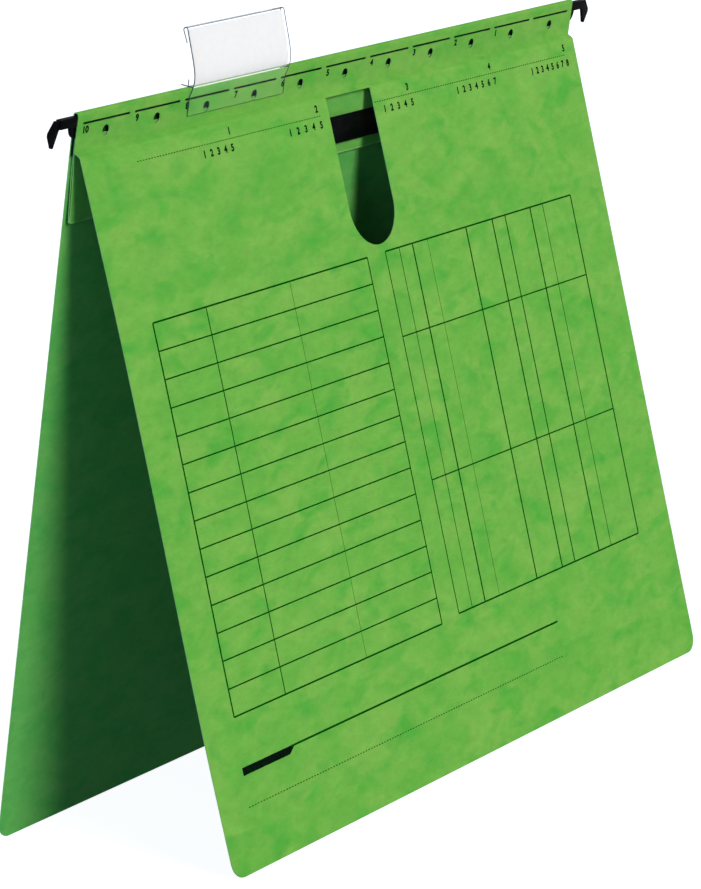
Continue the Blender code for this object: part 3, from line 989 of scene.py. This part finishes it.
# %% Clear and paper finishes
def clear_sheet(name, tint):
    """Clear plastic whose shadow is left open."""
    finish, tree, shader, place = new_finish(name, roughness=0.04)
    shader.inputs["Base Color"].default_value = tint
    shader.inputs["Transmission Weight"].default_value = 1.0
    shader.inputs["IOR"].default_value = 1.1
    scuffs = spread(tree, noise(tree, place, 260, 5, 0.7), 0.55, 0.8, 0.02, 0.14)
    tree.links.new(scuffs, shader.inputs["Roughness"])
    passing = tree.nodes.new("ShaderNodeBsdfTransparent")
    passing.inputs["Color"].default_value = tint
    both = tree.nodes.new("ShaderNodeMixShader")
    ray = tree.nodes.new("ShaderNodeLightPath")
    lighting = mathed(tree, "MAXIMUM", ray.outputs["Is Shadow Ray"], ray.outputs["Is Diffuse Ray"])
    tree.links.new(lighting, both.inputs["Fac"])
    tree.links.new(shader.outputs["BSDF"], both.inputs[1])
    tree.links.new(passing.outputs["BSDF"], both.inputs[2])
    tree.links.new(both.outputs["Shader"], tree.nodes["Material Output"].inputs["Surface"])
    return finish


def sawn_and_painted_dark(name, dark, light):
    """The tab's ends and rims, with saw marks, painted dark as shade."""
    finish, tree, shader, place = new_finish(name, roughness=0.3, specular=0.3)
    marks = noise(tree, stretched(tree, place, (1, 1, 6)), 900, 2)
    tree.links.new(mixed(tree, marks, dark, light), shader.inputs["Base Color"])
    raise_grain(tree, shader, marks, strength=0.3, depth=0.02 * MM)
    return finish


def paper(name, white, shade):
    """Smooth white paper with a trace of pulp."""
    finish, tree, shader, place = new_finish(name, roughness=0.8, specular=0.2)
    pulp = spread(tree, noise(tree, place, 420, 4, 0.6), 0.3, 0.7)
    tree.links.new(mixed(tree, pulp, shade, white), shader.inputs["Base Color"])
    raise_grain(tree, shader, noise(tree, place, 3000, 2), strength=0.2, depth=0.01 * MM)
    return finish


clear_plastic = clear_sheet("clear_plastic", tone(253, 254, 255))
# Painted shade: an opaque dark blue-grey for the tab's ends and rims.
clear_edge_painted_dark = sawn_and_painted_dark("clear_edge_painted_dark", tone(20, 28, 36), tone(58, 72, 84))
label_paper = paper("label_paper", tone(255, 251, 247), tone(252, 247, 243))
print("clear finishes:", clear_plastic.name, clear_edge_painted_dark.name, label_paper.name)

# %% [markdown]
# ## Pieces whose shape the frame already has
#
# For hard pieces the frame's solids are right, apart from their knife-sharp edges. A copy of the
# solid is merged, its flat faces are made whole again, and a Bevel rounds its edges as a mould or a
# press would. The copy then stands for the solid and moves with the same body. The rail and the
# prong strip hardly show, so they stay as they are and only get their finish.

# %% Copies with softened edges
MERGE = 0.001 * MM
EDGE_ANGLE = radians(35)
HOOK_EDGE, BAR_EDGE, LOCK_EDGE = 0.3 * MM, 0.22 * MM, 0.12 * MM
KEEP_BENDS = 0.01


def softened(node, name, finish, radius=0.0, segments=2, flat=0.5):
    """A merged copy of a solid with rounded edges; faces flat within some degrees become one."""
    piece = bpy.data.objects.new(name, nodes[node].data.copy())
    bpy.context.scene.collection.objects.link(piece)
    edit(piece, everything)
    bpy.ops.mesh.customdata_custom_splitnormals_clear()
    bpy.ops.mesh.remove_doubles(threshold=MERGE)
    bpy.ops.mesh.dissolve_limited(angle_limit=radians(flat))
    leave_edit()
    bpy.ops.object.shade_flat()
    if radius:
        apply_modifier(piece, "BEVEL", width=radius, segments=segments, limit_method="ANGLE",
                       angle_limit=EDGE_ANGLE, use_clamp_overlap=True)
        pick(piece)
        bpy.ops.object.shade_smooth_by_angle(angle=EDGE_ANGLE)
    piece.data.materials.clear()
    piece.data.materials.append(finish)
    return piece


hooks = {side: softened(f"hook_{side}", f"hook_{side}_moulded", hook_plastic, HOOK_EDGE, 3)
         for side in ("left", "right")}
bar_piece = softened("compressor_bar", "compressor_bar_moulded", bar_plastic, BAR_EDGE)
locks = {side: softened(f"bar_lock_{side}", f"bar_lock_{side}_moulded", lock_plastic, LOCK_EDGE)
         for side in ("left", "right")}
label_piece = softened("tab_label", "tab_label_paper", label_paper, flat=KEEP_BENDS)
tab_piece = softened("index_tab", "index_tab_clear", clear_plastic, flat=KEEP_BENDS)
for node, finish in (("prong_strip", prong_lacquer), ("suspension_rail", rail_steel)):
    nodes[node].data.materials.clear()
    nodes[node].data.materials.append(finish)
soft = (*hooks.values(), *locks.values(), bar_piece, label_piece, tab_piece)
print("softened:", [piece.name for piece in soft])

# %% [markdown]
# ## The tab's dark rims
#
# The tab's sawn ends, its foot and the crest of its roll get their painted dark shade here, face
# by face, by where a face lies and which way it looks.

# %% Tab rims
RIM = 0.5 * MM

# Painted shade on the tab's ends, foot and crest.
tab_piece.data.materials.append(clear_edge_painted_dark)
tab_heights = [corner.co.z for corner in tab_piece.data.vertices]
roll_top, apron_foot = max(tab_heights) - RIM, min(tab_heights) + RIM
for face in tab_piece.data.polygons:
    at_rim = face.center.z > roll_top or face.center.z < apron_foot
    if abs(face.normal.x) > FACING or (abs(face.normal.z) > FACING and at_rim):
        face.material_index = CUT_AND_PAINTED_LOOK
print("tab:", round((max(tab_heights) - min(tab_heights)) / MM, 1), "mm high")

# %% [markdown]
# ## Grips on the locks
#
# A lock is pushed along with a fingertip, so it has three small ridges on its face. One ridge is a
# block with a rounded top, and an Array sets the others beside it.

# %% Lock grips
RIDGES = 3
RIDGE_W, RIDGE_H, RIDGE_STEP = 0.7 * MM, 0.35 * MM, 2.0 * MM
RIDGE_INSET = 1.6 * MM
RIDGE_ROUND = 0.2 * MM

to_flap = FLAP.inverted()
for side, lock in locks.items():
    places = [to_flap @ point.co for point in lock.data.vertices]
    face_y = min(place.y for place in places)
    mid_x = (min(place.x for place in places) + max(place.x for place in places)) / 2
    low_z = min(place.z for place in places) + RIDGE_INSET
    high_z = max(place.z for place in places) - RIDGE_INSET
    first = mid_x - RIDGE_STEP * (RIDGES - 1) / 2
    ridge = block("ridge", (first - RIDGE_W / 2, face_y - RIDGE_H, low_z),
                  (first + RIDGE_W / 2, face_y + RIDGE_H / 2, high_z))
    apply_modifier(ridge, "BEVEL", width=RIDGE_ROUND, segments=3)
    repeat(ridge, RIDGES, RIDGE_STEP)
    ridge.data.materials.append(lock_plastic)
    lay(ridge, FLAP)
    locks[side] = join(lock.name, [lock, ridge])
print("grips:", RIDGES, "ridges on each lock")

# %% [markdown]
# ## What moves with what
#
# The header carries most pieces. The two covers are single sheets that cross a fold; they keep
# their place in their meshes, and the frame's covers are hidden. The print rides on the cover under
# it.

# %% Ride and replace
for piece, node in ((header_card, "spine_strip"), (flap_card, "filing_flap")):
    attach(piece, "header")
    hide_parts(node)

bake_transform(front_card)
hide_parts("front_cover")

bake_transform(back_card)
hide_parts("back_cover")

for piece in front_print:
    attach(piece, "front")
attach(slit_numbers, "header")

for side in ("left", "right"):
    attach(hooks[side], "header")
    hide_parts(f"hook_{side}")
    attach(locks[side], f"lock_{side}")
    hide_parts(f"bar_lock_{side}")
for piece, body, node, slot in ((bar_piece, "header", "compressor_bar", "bar"),
                                (tab_piece, "tab", "index_tab", "clear_tab"),
                                (label_piece, "label", "tab_label", "label")):
    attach(piece, body)
    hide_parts(node)

# %% [markdown]
# ## Lamps
#
# The photograph is lit from the front, a little to the left and above, by a lamp that is small
# enough to throw the front cover's shadow on the back one and large enough to soften its border.
# A sun with a wide disc does that evenly over the whole floor. A cool lamp from the left reaches
# into the open end of the tent, and a third one lights the far side, which the photograph does not
# show.

# %% Lamps
LAMP_AWAY = 2.0


def lamp(name, azimuth, up, disc, strength, colour):
    """A far lamp with a wide disc; degrees, azimuth counted from the front to the right."""
    turn, rise = radians(azimuth), radians(up)
    stands = Vector((sin(turn) * cos(rise), -cos(turn) * cos(rise), sin(rise)))
    let_go()
    bpy.ops.object.light_add(type="SUN", location=stands * LAMP_AWAY)
    made = bpy.context.object
    made.name = name
    made.rotation_euler = (-stands).to_track_quat("-Z", "Y").to_euler()
    made.data.energy = strength
    made.data.angle = radians(disc)
    made.data.color = colour


lamp("key_lamp", azimuth=-13, up=22, disc=20, strength=2.62, colour=(1.0, 0.945, 0.87))
lamp("side_fill", azimuth=-78, up=10, disc=30, strength=2.0, colour=(0.50, 0.72, 1.0))
lamp("rear_fill", azimuth=170, up=40, disc=30, strength=1.2, colour=(0.96, 0.98, 1.0))

# %% [markdown]
# ## Fill and white ground
#
# The fill around is weak. The ground is white for the eye, in mirrors and through glass: for the
# light on the object it counts as a grey floor.

# %% Fill and floor
FILL_STRENGTH = 0.085
FILL_COLOUR = (0.50, 0.74, 1.0, 1)
FLOOR_GLOW = 0.93
FLOOR_COLOUR = (0.30, 0.36, 0.46, 1)
FLOOR_SIZE = 40.0
WHITE = (1, 1, 1, 1)


def seen_straight(tree):
    """1 for rays that see a thing straight, in a mirror or through glass; 0 for other light."""
    ray = tree.nodes.new("ShaderNodeLightPath")
    seen = mathed(tree, "MAXIMUM", ray.outputs["Is Camera Ray"], ray.outputs["Is Glossy Ray"])
    return mathed(tree, "MAXIMUM", seen, ray.outputs["Is Transmission Ray"])


world = bpy.data.worlds.new("studio")
bpy.context.scene.world = world
world.use_nodes = True
tree = world.node_tree
sky = tree.nodes["Background"]
tree.links.new(mixed(tree, seen_straight(tree), FILL_COLOUR, WHITE), sky.inputs["Color"])
tree.links.new(spread(tree, seen_straight(tree), 0, 1, FILL_STRENGTH, 1.0), sky.inputs["Strength"])

bpy.ops.mesh.primitive_plane_add(size=FLOOR_SIZE)
floor = bpy.context.object
floor.name = "floor"
floor_finish, tree, shader, place = new_finish("pale_floor", roughness=0.9, specular=0.0)
shader.inputs["Base Color"].default_value = FLOOR_COLOUR
shader.inputs["Emission Color"].default_value = WHITE
glow = mathed(tree, "MULTIPLY", seen_straight(tree), FLOOR_GLOW)
tree.links.new(glow, shader.inputs["Emission Strength"])
floor.data.materials.append(floor_finish)
print("floor:", FLOOR_SIZE, "m")

# %% [markdown]
# ## Camera
#
# The camera was found by matching the corners of the covers and the ruled tables in the photograph:
# a long lens, well to the left, a little above, and held slightly crooked.

# %% Set up the camera
PHOTO_H_PX = 889
FOCAL_PX = 4091.3
SENSOR = 36
CAMERA_AT = (-1.2120, -0.8126, 0.4373)
LOOK_AZIMUTH, LOOK_DOWN, ROLL = radians(56.06), radians(12.57), radians(-2.43)

let_go()
bpy.ops.object.camera_add(location=CAMERA_AT)
camera = bpy.context.object
level = cos(LOOK_DOWN)
ahead = Vector((sin(LOOK_AZIMUTH) * level, cos(LOOK_AZIMUTH) * level, -sin(LOOK_DOWN)))
aim = ahead.to_track_quat("-Z", "Y") @ Quaternion((0, 0, 1), ROLL)
camera.rotation_euler = aim.to_euler()
camera.data.sensor_width = SENSOR
camera.data.lens = SENSOR * FOCAL_PX / PHOTO_H_PX
bpy.context.scene.camera = camera
bpy.context.scene.view_settings.view_transform = "Standard"
print("lens:", round(camera.data.lens, 1), "mm")
